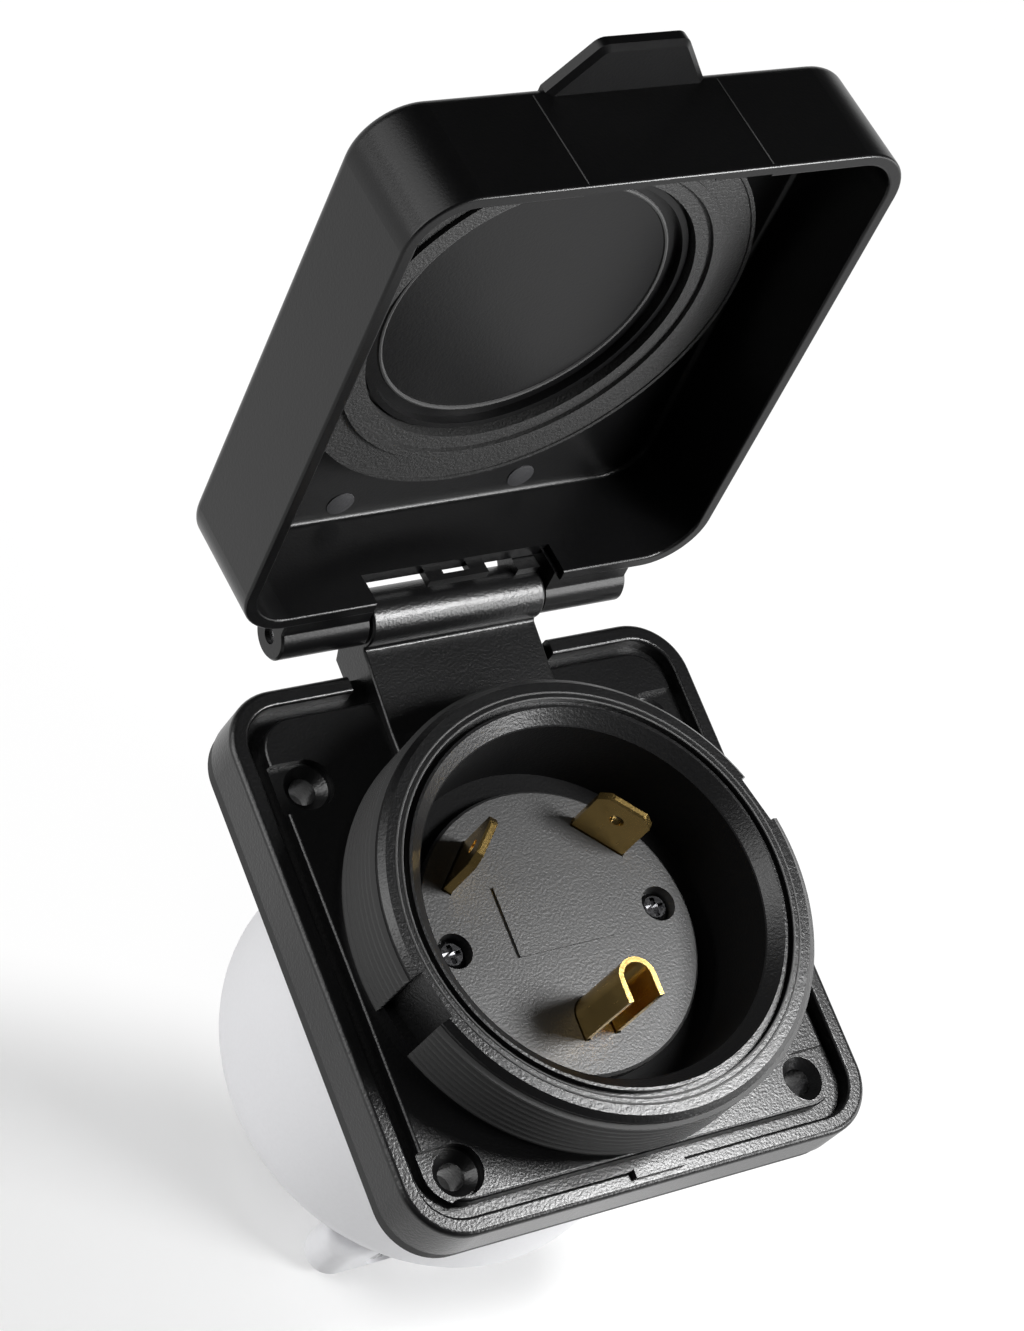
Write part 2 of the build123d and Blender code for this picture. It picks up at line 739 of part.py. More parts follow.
# Terminal block: three wire pockets open to the rear, with the contacts' feet on their floors
with BuildPart() as terminal_block:
    with BuildSketch(Plane.XY.offset(floor_back)):
        Circle(block_flange_d / 2)
    extrude(amount=-block_flange)
    with BuildSketch(Plane.XY.offset(floor_back)):
        Circle(block_d / 2)
    extrude(amount=-block_length)
    add(contact_slots(floor_back, foot_z), mode=Mode.SUBTRACT)
    pocket_across = max(blade_width, foot_width) + 2 * pocket_margin
    for name, plane in terminal_planes.items():
        reach_out = ground_leg if name == "ground" else contact_gauge / 2
        back = reach_out + pocket_back
        front = foot_length + pocket_margin
        with BuildSketch(pocket_plane(plane, foot_z)):
            with Locations((0, (front - back) / 2)):
                Rectangle(pocket_across, front + back)
        extrude(amount=block_length - block_floor, mode=Mode.SUBTRACT)
        with BuildSketch(terminal_seat(plane, foot_z)):
            Circle(screw_d / 2 + screw_clearance)
        extrude(amount=terminal_screw_length - contact_gauge - clamp_plate_thickness + screw_run_out,
                mode=Mode.SUBTRACT)
    with BuildSketch(Plane.XY.offset(floor_back)):
        with Locations(*carrier_screw_places):
            Circle(screw_d / 2 + thread_fit)
    extrude(amount=-block_length, mode=Mode.SUBTRACT)
save(terminal_block.part, "terminal_block")


# A pressure plate and a screw on each foot
for name, plane in terminal_planes.items():
    with BuildPart() as clamp_piece:
        with BuildSketch(terminal_seat(plane, plate_z)):
            Rectangle(clamp_plate, clamp_plate)
            Circle(screw_d / 2 + screw_clearance, mode=Mode.SUBTRACT)
        extrude(amount=-clamp_plate_thickness)
    save(clamp_piece.part, f"{name}_clamp_plate")
    save(pan_screw(terminal_seat(plane, terminal_head_z), terminal_screw_length), f"{name}_terminal_screw")


# Rear cover: a cup with two screw pillars, a cable hole and a saddle for the cord clamp
with BuildPart() as rear_cover:
    with BuildSketch(Plane.XZ):
        with BuildLine():
            Polyline(
                (0, cover_back),
                (cover_d / 2, cover_back),
                (cover_d / 2, flange_back),
                (cover_inner_d / 2, flange_back),
                (cover_inner_d / 2, cover_floor),
                (0, cover_floor),
                close=True,
            )
        make_face()
        fillet(vertices().sort_by_distance((cover_d / 2, cover_back, 0))[0], cover_round)
        inner_corner = vertices().sort_by_distance((cover_inner_d / 2, cover_floor, 0))[0]
        chamfer(inner_corner, max(cover_round - cover_wall, cover_wall / 2))
    revolve(axis=Axis.Z)

    # Pillars, each with a rib to the wall
    rib_run = cover_inner_d / 2 - cover_screw_x + cover_wall / 2
    with BuildSketch(Plane.XY.offset(cover_floor)):
        with GridLocations(2 * cover_screw_x, 0, 2, 1):
            Circle(pillar_d / 2)
        with GridLocations(2 * cover_screw_x + rib_run, 0, 2, 1):
            Rectangle(rib_run, pillar_rib)
    extrude(amount=pillar_seat_z - cover_floor)
    with BuildSketch(Plane.XY.offset(pillar_seat_z)):
        with GridLocations(2 * cover_screw_x, 0, 2, 1):
            Circle(pillar_d / 2)
    extrude(amount=pillar_seat)
    with BuildSketch(Plane.XY.offset(cover_back)):
        with GridLocations(2 * cover_screw_x, 0, 2, 1):
            Circle(pillar_bore_d / 2)
    extrude(amount=pillar_seat_z - cover_back, mode=Mode.SUBTRACT)
    with BuildSketch(Plane.XY.offset(pillar_seat_z)):
        with GridLocations(2 * cover_screw_x, 0, 2, 1):
            Circle(screw_d / 2 + screw_clearance)
    extrude(amount=pillar_seat, mode=Mode.SUBTRACT)

    # Saddle: an arch over the cable with a leg on each side
    with BuildSketch(Plane.XY.offset(cover_back + cover_wall / 2)):
        with Locations((0, cable_y)):
            Circle(cable_hole_d / 2 + saddle_wall)
        with Locations((0, (saddle_y + cable_y + saddle_wall) / 2)):
            Rectangle(saddle_width, cable_y + saddle_wall - saddle_y)
        with Locations((0, cable_y - cable_hole_d)):
            Rectangle(2 * saddle_width, 2 * (cable_hole_d - saddle_drop), mode=Mode.SUBTRACT)
    extrude(amount=-saddle_length - cover_wall / 2)
    with BuildSketch(Plane.XY.offset(cover_back - saddle_length)):
        with Locations((0, cable_y)):
            Circle(cable_hole_d / 2)
        with Locations((0, cable_y - saddle_drop / 2)):
            Rectangle(cable_hole_d, saddle_drop)
    extrude(amount=saddle_length, mode=Mode.SUBTRACT)
    with BuildSketch(Plane.XY.offset(cover_back)):
        with Locations((0, cable_y)):
            Circle(cable_hole_d / 2)
    extrude(amount=cover_wall, mode=Mode.SUBTRACT)
    clamp_bite = clamp_screw_length - clamp_thickness + clamp_head_recess
    with BuildSketch(Plane.XZ.offset(-saddle_y)):
        with Locations((0, clamp_z)):
            with GridLocations(2 * clamp_screw_x, 0, 2, 1):
                Circle(screw_d / 2 + thread_fit)
    extrude(amount=-clamp_bite - screw_run_out, mode=Mode.SUBTRACT)
save(rear_cover.part, "rear_cover")


# Two screws deep in the cover's pillars
with BuildPart() as cover_screws:
    for side in (-1, 1):
        add(pan_screw(Plane((side * cover_screw_x, 0, pillar_seat_z)), cover_screw_length))
save(cover_screws.part, "cover_screws")


# Rubber ring in the cable hole
with BuildPart() as cable_grommet:
    grommet_r = cable_hole_d / 2 - grommet_fit
    with BuildSketch(Plane.XY.offset(cover_back - grommet_nose)):
        with Locations((0, cable_y)):
            Circle(grommet_r)
            Circle(cable_hole_d / 2 - grommet_wall, mode=Mode.SUBTRACT)
    extrude(amount=grommet_nose + cover_wall)
    with BuildSketch(Plane.XY.offset(cover_floor)):
        with Locations((0, cable_y)):
            Circle(grommet_r + grommet_flange)
            Circle(cable_hole_d / 2 - grommet_wall, mode=Mode.SUBTRACT)
    extrude(amount=grommet_flange_thickness)
save(cable_grommet.part, "cable_grommet")


# Cord clamp: a round-ended bar under the saddle's legs
with BuildPart() as cord_clamp:
    with BuildSketch(Plane.XY.offset(clamp_z)):
        with Locations((0, saddle_y - clamp_thickness / 2)):
            SlotOverall(clamp_length, clamp_thickness)
    extrude(amount=clamp_width / 2, both=True)
    fillet(cord_clamp.faces().filter_by(Plane.XY).edges(), clamp_round)
    with BuildSketch(Plane.XY.offset(clamp_z)):
        with Locations((0, cable_y)):
            Circle(cable_hole_d / 2)
    extrude(amount=clamp_width, both=True, mode=Mode.SUBTRACT)
    with BuildSketch(Plane.XZ.offset(-saddle_y)):
        with Locations((0, clamp_z)):
            with GridLocations(2 * clamp_screw_x, 0, 2, 1):
                Circle(screw_d / 2 + screw_clearance)
    extrude(amount=clamp_thickness, mode=Mode.SUBTRACT)
    with BuildSketch(Plane.XZ.offset(clamp_thickness - saddle_y)):
        with Locations((0, clamp_z)):
            with GridLocations(2 * clamp_screw_x, 0, 2, 1):
                Circle(pan_head_d / 2 + screw_clearance)
    extrude(amount=-clamp_head_recess, mode=Mode.SUBTRACT)
save(cord_clamp.part, "cord_clamp")


# Two screws up through the clamp into the saddle's legs
clamp_seat_y = saddle_y - clamp_thickness + clamp_head_recess
with BuildPart() as clamp_screws:
    for side in (-1, 1):
        seat = Plane((side * clamp_screw_x, clamp_seat_y, clamp_z), x_dir=(1, 0, 0), z_dir=(0, 1, 0))
        add(pan_screw(seat, clamp_screw_length))
save(clamp_screws.part, "clamp_screws")
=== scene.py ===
import json
import math

import bmesh
import bpy
from bpy.props import FloatProperty, FloatVectorProperty, IntProperty, PointerProperty
from mathutils import Matrix, Vector


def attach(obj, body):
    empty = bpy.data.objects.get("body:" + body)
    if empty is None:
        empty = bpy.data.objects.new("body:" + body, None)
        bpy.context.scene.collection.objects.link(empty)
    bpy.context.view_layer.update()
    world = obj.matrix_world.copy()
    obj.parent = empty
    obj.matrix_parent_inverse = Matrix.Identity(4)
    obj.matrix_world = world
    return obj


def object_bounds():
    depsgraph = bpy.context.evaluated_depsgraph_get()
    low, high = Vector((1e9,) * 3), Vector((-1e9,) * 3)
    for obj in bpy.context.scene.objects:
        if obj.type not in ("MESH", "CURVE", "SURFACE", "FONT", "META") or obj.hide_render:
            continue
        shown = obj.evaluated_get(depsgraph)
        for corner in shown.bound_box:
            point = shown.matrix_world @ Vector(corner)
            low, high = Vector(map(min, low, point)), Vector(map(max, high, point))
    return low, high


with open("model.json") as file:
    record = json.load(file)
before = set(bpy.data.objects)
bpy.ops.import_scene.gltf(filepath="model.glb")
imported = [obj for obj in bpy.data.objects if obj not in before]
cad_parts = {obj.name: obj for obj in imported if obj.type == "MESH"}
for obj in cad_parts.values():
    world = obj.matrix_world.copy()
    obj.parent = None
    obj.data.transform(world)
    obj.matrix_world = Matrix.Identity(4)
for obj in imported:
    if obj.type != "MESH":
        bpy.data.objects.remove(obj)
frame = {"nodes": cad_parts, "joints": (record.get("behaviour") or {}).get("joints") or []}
cad_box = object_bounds()
hinge = frame["joints"][0]

bl_info = {
    "name": "Caravan power inlet",
    "version": (1, 0, 0),
    "blender": (4, 5, 0),
    "location": "3D View > Sidebar > Inlet",
    "description": "Finishes, thread, mould marks and studio for a caravan power inlet with a hinged lid",
    "category": "Object",
}


# Sizes and colours that a user may change


class InletColours(bpy.types.PropertyGroup):
    """Colours of the mouldings, the rubber and the metal."""

    housing: FloatVectorProperty(
        name="Housing",
        description="Black moulding of the flange, collar and hinge bracket",
        subtype="COLOR",
        min=0,
        max=1,
        default=(0.0035, 0.0035, 0.0037),
    )
    lid: FloatVectorProperty(
        name="Lid",
        description="Black moulding of the lid",
        subtype="COLOR",
        min=0,
        max=1,
        default=(0.003, 0.003, 0.0032),
    )
    carrier: FloatVectorProperty(
        name="Contact carrier",
        description="Dark grey moulding that holds the contacts and terminals",
        subtype="COLOR",
        min=0,
        max=1,
        default=(0.032, 0.032, 0.032),
    )
    rubber: FloatVectorProperty(
        name="Rubber",
        description="Gaskets, lid seal and cable grommet",
        subtype="COLOR",
        min=0,
        max=1,
        default=(0.012, 0.012, 0.012),
    )
    brass: FloatVectorProperty(
        name="Brass",
        description="Stamped contacts and pressure plates",
        subtype="COLOR",
        min=0,
        max=1,
        default=(0.80, 0.55, 0.19),
    )
    # Painted shade: the carrier screws' plating is darker than plain steel so that it stands in for the
    # shade and dark reflections in their recesses
    painted_screw_shade: FloatVectorProperty(
        name="Painted screw shade",
        description="Screws that hold the contact carrier, darkened as painted shade of their recesses",
        subtype="COLOR",
        min=0,
        max=1,
        default=(0.13, 0.13, 0.135),
    )
    steel: FloatVectorProperty(
        name="Steel",
        description="Plated screws and the hinge pin",
        subtype="COLOR",
        min=0,
        max=1,
        default=(0.62, 0.62, 0.63),
    )
    cover: FloatVectorProperty(
        name="Rear cover",
        description="White moulding of the rear cup and the cord clamp",
        subtype="COLOR",
        min=0,
        max=1,
        default=(0.84, 0.84, 0.86),
    )


class InletGrain(bpy.types.PropertyGroup):
    """Surface texture of the mouldings."""

    spacing: FloatProperty(
        name="Grain spacing",
        description="Distance between the pits of the moulded grain",
        subtype="DISTANCE",
        unit="LENGTH",
        min=0.00005,
        default=0.0005,
    )
    depth: FloatProperty(
        name="Grain depth",
        description="Height of the grain on the housing, the contact carrier and the ejector marks",
        subtype="DISTANCE",
        unit="LENGTH",
        min=0,
        default=0.00006,
    )
    lid_depth: FloatProperty(
        name="Lid grain depth",
        description="Height of the finer grain on the lid and the rear cover",
        subtype="DISTANCE",
        unit="LENGTH",
        min=0,
        default=0.00002,
    )
    roughness: FloatProperty(
        name="Roughness",
        description="Mean roughness of the black mouldings",
        subtype="FACTOR",
        min=0,
        max=1,
        default=0.3,
    )
    bore_radius: FloatProperty(
        name="Bore radius",
        description="Radius about the collar axis within which the housing is matt",
        subtype="DISTANCE",
        unit="LENGTH",
        min=0,
        default=0.0318,
    )


class InletThread(bpy.types.PropertyGroup):
    """Thread round the outside of the collar."""

    pitch: FloatProperty(
        name="Pitch",
        description="Distance from one turn to the next",
        subtype="DISTANCE",
        unit="LENGTH",
        min=0.0005,
        default=0.0016,
    )
    crest: FloatProperty(
        name="Crest height",
        description="Height of the ridge above the plain collar",
        subtype="DISTANCE",
        unit="LENGTH",
        min=0.0001,
        default=0.00075,
    )
    root_radius: FloatProperty(
        name="Root radius",
        description="Outside radius of the plain collar",
        subtype="DISTANCE",
        unit="LENGTH",
        default=0.0397,
    )
    low: FloatProperty(
        name="Lower end",
        description="Height of the first turn above the wall",
        subtype="DISTANCE",
        unit="LENGTH",
        default=0.0132,
    )
    high: FloatProperty(
        name="Upper end",
        description="Height of the last turn above the wall",
        subtype="DISTANCE",
        unit="LENGTH",
        default=0.0268,
    )
    notch_angle: FloatProperty(
        name="Notch angle",
        description="Direction of the first bayonet notch; the second is opposite",
        subtype="ANGLE",
        unit="ROTATION",
        default=math.radians(15.5),
    )
    notch_width: FloatProperty(
        name="Notch width",
        description="Gap in the thread at each notch",
        subtype="DISTANCE",
        unit="LENGTH",
        default=0.0086,
    )
    steps: IntProperty(
        name="Steps per half turn",
        description="Facets along each half turn of the ridge",
        min=8,
        default=56,
    )


class InletBeads(bpy.types.PropertyGroup):
    """Fine raised rings on the collar's front and inside the lid."""

    face_height: FloatProperty(
        name="Front height",
        description="Height of the collar's front above the wall",
        subtype="DISTANCE",
        unit="LENGTH",
        default=0.0277,
    )
    face_radii: FloatVectorProperty(
        name="Front radii",
        description="Radii of the two rings on the collar's front",
        subtype="XYZ",
        unit="LENGTH",
        size=2,
        default=(0.0368, 0.03575),
    )
    face_bead: FloatProperty(
        name="Front bead",
        description="Height of the rings on the collar's front",
        subtype="DISTANCE",
        unit="LENGTH",
        min=0.00001,
        default=0.0002,
    )
    lid_radius: FloatProperty(
        name="Lid radius",
        description="Radius of the ring inside the lid",
        subtype="DISTANCE",
        unit="LENGTH",
        default=0.0258,
    )
    lid_bead: FloatProperty(
        name="Lid bead",
        description="Height of the ring inside the lid",
        subtype="DISTANCE",
        unit="LENGTH",
        min=0.00001,
        default=0.0004,
    )
    steps: IntProperty(
        name="Steps",
        description="Facets round each ring",
        min=24,
        default=160,
    )


class InletMarks(bpy.types.PropertyGroup):
    """Marks that the mould leaves on the lid."""

    ejector_radius: FloatProperty(
        name="Ejector radius",
        description="Radius of the two ejector marks inside the lid",
        subtype="DISTANCE",
        unit="LENGTH",
        default=0.0026,
    )
    ejector_place: FloatVectorProperty(
        name="Ejector place",
        description="Distance of each mark from the lid's middle line and from the collar axis, lid shut",
        subtype="XYZ",
        unit="LENGTH",
        size=2,
        default=(0.0182, 0.0472),
    )
    ejector_height: FloatProperty(
        name="Ejector height",
        description="Height of each mark above the lid's inside",
        subtype="DISTANCE",
        unit="LENGTH",
        default=0.00018,
    )
    ejector_paleness: FloatProperty(
        name="Ejector paleness",
        description="Colour of the marks as a multiple of the lid's",
        min=1,
        default=9.0,
    )
    roof_height: FloatProperty(
        name="Roof height",
        description="Height of the lid's inside above the wall, lid shut",
        subtype="DISTANCE",
        unit="LENGTH",
        default=0.03185,
    )
    parting_offset: FloatProperty(
        name="Parting offset",
        description="Distance of each parting line from the lid's middle line",
        subtype="DISTANCE",
        unit="LENGTH",
        default=0.0172,
    )
    parting_width: FloatProperty(
        name="Parting width",
        description="Width of each parting line",
        subtype="DISTANCE",
        unit="LENGTH",
        default=0.00022,
    )
    parting_height: FloatProperty(
        name="Parting height",
        description="Height of each parting line above the lid's free wall",
        subtype="DISTANCE",
        unit="LENGTH",
        default=0.00007,
    )
    parting_span: FloatVectorProperty(
        name="Parting span",
        description="Lowest and highest point of each parting line above the wall, lid shut",
        subtype="XYZ",
        unit="LENGTH",
        size=2,
        default=(0.0134, 0.0321),
    )
    free_wall: FloatProperty(
        name="Free wall",
        description="Distance of the lid's free wall from the collar axis, lid shut",
        subtype="DISTANCE",
        unit="LENGTH",
        default=0.0469,
    )


class InletStage(bpy.types.PropertyGroup):
    """Floor, lamps and camera."""

    floor: FloatVectorProperty(
        name="Floor",
        description="Colour of the round patch of floor that shows the shadow",
        subtype="COLOR",
        min=0,
        max=1,
        default=(0.75, 0.75, 0.75),
    )
    far_floor: FloatVectorProperty(
        name="Far floor",
        description="Colour of the floor outside the patch",
        subtype="COLOR",
        min=0,
        max=1,
        default=(0.08, 0.08, 0.08),
    )
    floor_glow: FloatProperty(
        name="Floor glow",
        description="Light that the floor adds to what is seen of it inside the patch",
        min=0,
        default=0.25,
    )
    far_glow: FloatProperty(
        name="Far glow",
        description="Light that the floor adds to what is seen of it outside the patch",
        min=0,
        default=0.95,
    )
    fade_centre: FloatVectorProperty(
        name="Fade centre",
        description="Middle of the patch",
        subtype="XYZ",
        unit="LENGTH",
        default=(-0.156, -0.204, cad_box[0][2]),
    )
    fade_radius: FloatProperty(
        name="Fade radius",
        description="Radius of the patch, outside which the floor is white",
        subtype="DISTANCE",
        unit="LENGTH",
        min=0,
        default=0.25,
    )
    fade_width: FloatProperty(
        name="Fade width",
        description="Distance over which the floor turns white",
        subtype="DISTANCE",
        unit="LENGTH",
        default=0.03,
    )
    sky: FloatProperty(
        name="Sky",
        description="Strength of the even light from all round",
        min=0,
        default=0.03,
    )
    focal_length: FloatProperty(
        name="Focal length",
        description="Focal length in millimetres on a 36 mm frame",
        min=1,
        default=99.98,
    )
    eye: FloatVectorProperty(
        name="Eye",
        description="Place of the camera",
        subtype="XYZ",
        unit="LENGTH",
        default=(-0.327385, -0.149561, 0.518584),
    )
    gaze: FloatVectorProperty(
        name="Gaze",
        description="Direction in which the camera looks",
        subtype="DIRECTION",
        default=(0.52828, 0.30925, -0.79075),
    )
    upright: FloatVectorProperty(
        name="Upright",
        description="Direction that is up in the picture",
        subtype="DIRECTION",
        default=(0.15749, 0.87946, 0.44916),
    )


# Shader nodes

# Sockets by which a Mix node blends two colours
mix_factor, mix_low, mix_high, mix_result = 0, 6, 7, 2


class Value:
    """A shader socket that takes part in Python arithmetic by adding Math nodes."""

    def __init__(self, finish, socket):
        self.finish = finish
        self.socket = socket

    def math(self, operation, other):
        """This value and another through one Math node."""
        return self.finish.node("ShaderNodeMath", {"operation": operation}, {0: self, 1: other})

    def flipped(self, operation, other):
        """A number on the left of this value through one Math node."""
        return self.finish.node("ShaderNodeMath", {"operation": operation}, {0: other, 1: self})

    def __add__(self, other):
        return self.math("ADD", other)

    def __radd__(self, other):
        return self.flipped("ADD", other)

    def __mul__(self, other):
        return self.math("MULTIPLY", other)

    def __rmul__(self, other):
        return self.flipped("MULTIPLY", other)

    def __lt__(self, other):
        return self.math("LESS_THAN", other)

    def __gt__(self, other):
        return self.math("GREATER_THAN", other)


class Finish:
    """One node tree, of a material or of the world, built node by node."""

    def __init__(self, owner):
        owner.use_nodes = True
        self.owner = owner
        self.tree = owner.node_tree
        self.tree.nodes.clear()

    def node(self, kind, settings=None, inputs=None, output=0):
        """Add a node, apply its settings, then set or link its inputs, and return one output."""
        made = self.tree.nodes.new(kind)
        for name, setting in (settings or {}).items():
            setattr(made, name, setting)
        for name, value in (inputs or {}).items():
            if isinstance(value, Value):
                self.tree.links.new(value.socket, made.inputs[name])
            else:
                made.inputs[name].default_value = value
        return Value(self, made.outputs[output]) if made.outputs else None

    def place(self):
        """Object coordinates."""
        return self.node("ShaderNodeTexCoord", output="Object")

    def vector(self, operation, *points, output=0):
        """Points through one Vector Math node."""
        inputs = dict(enumerate(points))
        return self.node("ShaderNodeVectorMath", {"operation": operation}, inputs, output)

    def noise(self, point, spacing, detail=2.0, roughness=0.5):
        """Noise with features about that far apart."""
        inputs = {"Vector": point, "Scale": 1 / spacing, "Detail": detail, "Roughness": roughness}
        return self.node("ShaderNodeTexNoise", {}, inputs)

    def blend(self, factor, low, high):
        """A colour between two others."""
        inputs = {mix_factor: factor, mix_low: low, mix_high: high}
        return self.node("ShaderNodeMix", {"data_type": "RGBA"}, inputs, mix_result)

    def mottle(self, factor, colour, darkest, lightest):
        """One colour between a darker and a lighter tone of itself."""
        return self.blend(factor, rgba(colour, darkest), rgba(colour, lightest))

    def bump(self, height, distance):
        """A normal tilted by a height that runs from 0 to 1 over that distance."""
        return self.node("ShaderNodeBump", {}, {"Height": height, "Distance": distance})

    def surface(self, inputs, other=None, factor=0.0):
        """Finish the material with one Principled shader, or with two that a factor mixes."""
        shader = self.node("ShaderNodeBsdfPrincipled", {}, inputs)
        if other:
            second = self.node("ShaderNodeBsdfPrincipled", {}, other)
            shader = self.node("ShaderNodeMixShader", {}, {0: factor, 1: shader, 2: second})
        self.node("ShaderNodeOutputMaterial", {}, {"Surface": shader})
        return self.owner


def new_finish(name):
    """An empty material of that name."""
    return Finish(bpy.data.materials.new(name))


def rgba(colour, gain=1.0):
    """A colour of three numbers, made lighter or darker, with a full alpha."""
    return tuple(min(1.0, channel * gain) for channel in colour) + (1.0,)


def plastic_skin(finish, colour, roughness, spacing, depth, sheen, speckle=0.3):
    """Shader inputs of satin plastic with a spark-eroded grain and faint cloudiness."""
    cloud_spread = 40
    smoothest, unevenness = roughness - 0.05, 0.06
    point = finish.place()
    grain = finish.noise(point, spacing, roughness=0.55)
    cloud = finish.noise(point, spacing * cloud_spread)
    return {
        "Base Color": finish.mottle(grain, colour, darkest=1 - speckle, lightest=1 + speckle),
        "Roughness": smoothest + unevenness * grain + unevenness * cloud,
        "Specular IOR Level": sheen,
        "Normal": finish.bump(grain, depth),
    }


def moulded_plastic(name, colour, **skin):
    """Satin plastic with the same gloss all over, from the values that plastic_skin takes."""
    finish = new_finish(name)
    return finish.surface(plastic_skin(finish, colour, **skin))


def housing_plastic(name, colour, grain):
    """Satin plastic that is matt in the collar's bore."""
    finish = new_finish(name)
    satin = plastic_skin(finish, colour, grain.roughness, grain.spacing, grain.depth, sheen=0.42)
    matt = satin | {"Roughness": 0.6, "Specular IOR Level": 0.08}
    flat = finish.vector("MULTIPLY", finish.place(), (1, 1, 0))
    radius = finish.vector("LENGTH", flat, output="Value")
    return finish.surface(satin, matt, radius < grain.bore_radius)


def uneven_skin(finish, noise, colour, tones, roughness, depth):
    """Shader inputs that one noise takes from the first to the second tone and roughness, and lifts."""
    smooth, rough = roughness
    return {
        "Base Color": finish.mottle(noise, colour, *tones),
        "Roughness": smooth + (rough - smooth) * noise,
        "Normal": finish.bump(noise, depth),
    }


def plated(name, colour, roughness):
    """Plating with a faintly uneven skin, from that roughness upwards."""
    unevenness = 0.15
    finish = new_finish(name)
    noise = finish.noise(finish.place(), spacing=0.0006, detail=3.0)
    skin = uneven_skin(
        finish,
        noise,
        colour,
        tones=(0.85, 1.1),
        roughness=(roughness, roughness + unevenness),
        depth=0.00001,
    )
    return finish.surface(skin | {"Metallic": 1.0})


def paint(nodes, material):
    """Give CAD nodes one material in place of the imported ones."""
    for name in nodes:
        slots = frame["nodes"][name].data.materials
        slots.clear()
        slots.append(material)


# Mesh pieces

# Edges that bend by more than this stay sharp
sharp_angle = math.radians(35)

# Thread section: depth of its foot in the collar, and half its root and half its crest over the pitch
thread_sink, root_share, crest_share = 0.0002, 0.48, 0.16

# Angles of the corners of a ring's half-round section
half_round = (0, 0.8, 1.57, 2.34, math.pi)

# Radius of a mould mark's rounded edge over the mark's height
ejector_rounding, parting_rounding = 0.6, 0.5

# Difference in height below which an edge counts as level
level_limit = 1e-7


def mesh_data(name, mesh):
    """Mesh data of that name from a bmesh, which is freed."""
    data = bpy.data.meshes.new(name)
    mesh.to_mesh(data)
    mesh.free()
    return data


def show(name, data):
    """Put data in the scene as an object of that name."""
    made = bpy.data.objects.new(name, data)
    bpy.context.scene.collection.objects.link(made)
    return made


def new_piece(name, mesh, body, slot, material=None):
    """Make a bmesh an object that rides on a body, in its slot's material unless another is given."""
    bmesh.ops.recalc_face_normals(mesh, faces=mesh.faces)
    data = mesh_data(name, mesh)
    data.shade_smooth()
    data.set_sharp_from_angle(angle=sharp_angle)
    data.materials.append(material or bpy.data.materials[slot])
    piece = show(name, data)
    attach(piece, body)


def open_lid():
    """The turn that takes the shut lid to its open rest."""
    pivot = Vector(hinge["pos_m"])
    turn = Matrix.Rotation(-math.radians(hinge["range_deg"][1]), 4, Vector(hinge["axis"]))
    return Matrix.Translation(pivot) @ turn @ Matrix.Translation(-pivot)


def wind_ridge(mesh, thread, start, sweep, height):
    """One length of ridge from the start angle, rising as it goes."""
    inner = thread.root_radius - thread_sink
    outer = thread.root_radius + thread.crest
    half_root = thread.pitch * root_share
    half_crest = thread.pitch * crest_share
    corners = (
        (inner, -half_root),
        (outer, -half_crest),
        (outer, half_crest),
        (inner, half_root),
    )
    rim = [mesh.verts.new((radius, 0, height + rise)) for radius, rise in corners]
    section = mesh.faces.new(rim)
    turn = Matrix.Rotation(start, 3, "Z")
    bmesh.ops.rotate(mesh, cent=(0, 0, 0), matrix=turn, verts=rim)
    climb = thread.pitch * sweep / math.tau / thread.steps
    bmesh.ops.spin(
        mesh,
        geom=[section] + list(section.edges) + rim,
        cent=(0, 0, 0),
        axis=(0, 0, 1),
        dvec=(0, 0, climb),
        angle=sweep,
        steps=thread.steps,
        use_duplicate=False,
    )


def spin_bead(mesh, radius, bead, height, steps):
    """A half-round ring about the collar axis, on a face at that height."""
    corners = [(radius + bead * math.cos(turn), bead * math.sin(turn)) for turn in half_round]
    rim = [mesh.verts.new((across, 0, height + rise)) for across, rise in corners]
    section = [mesh.edges.new(pair) for pair in zip(rim, rim[1:])]
    bmesh.ops.spin(
        mesh,
        geom=section + rim,
        cent=(0, 0, 0),
        axis=(0, 0, 1),
        dvec=(0, 0, 0),
        angle=math.tau,
        steps=steps,
        use_merge=True,
        use_duplicate=False,
    )


def is_level(edge):
    """Whether both ends of an edge are at one height."""
    start, end = edge.verts
    return abs(start.co.z - end.co.z) < level_limit


def round_edges(mesh, edges, radius):
    """Round edges off with two facets."""
    bmesh.ops.bevel(
        mesh,
        geom=edges,
        offset=radius,
        affect="EDGES",
        segments=2,
        profile=0.5,
        material=-1,
    )


# Lamps: place in metres, side in metres and power in watts, and the point that they all face

lamps = {
    "near_lamp": ((0.095, -0.035, 0.175), 0.06, 0.7),
    "front_lamp": ((0.417, -0.407, 0.295), 0.22, 2.8),
    "low_lamp": ((0.606, -0.211, 0.099), 0.28, 1.0),
    "back_lamp": ((-0.436, 0.315, 0.393), 0.5, 2.5),
    "left_lamp": ((-0.59, 0.248, 0.155), 0.35, 1.4),
}
lamp_target = (0, 0.01, 0.02)

# Floor: gap under the object, and distance from its middle to its edges

floor_gap = 0.0002
floor_reach = 30.0


# Operators


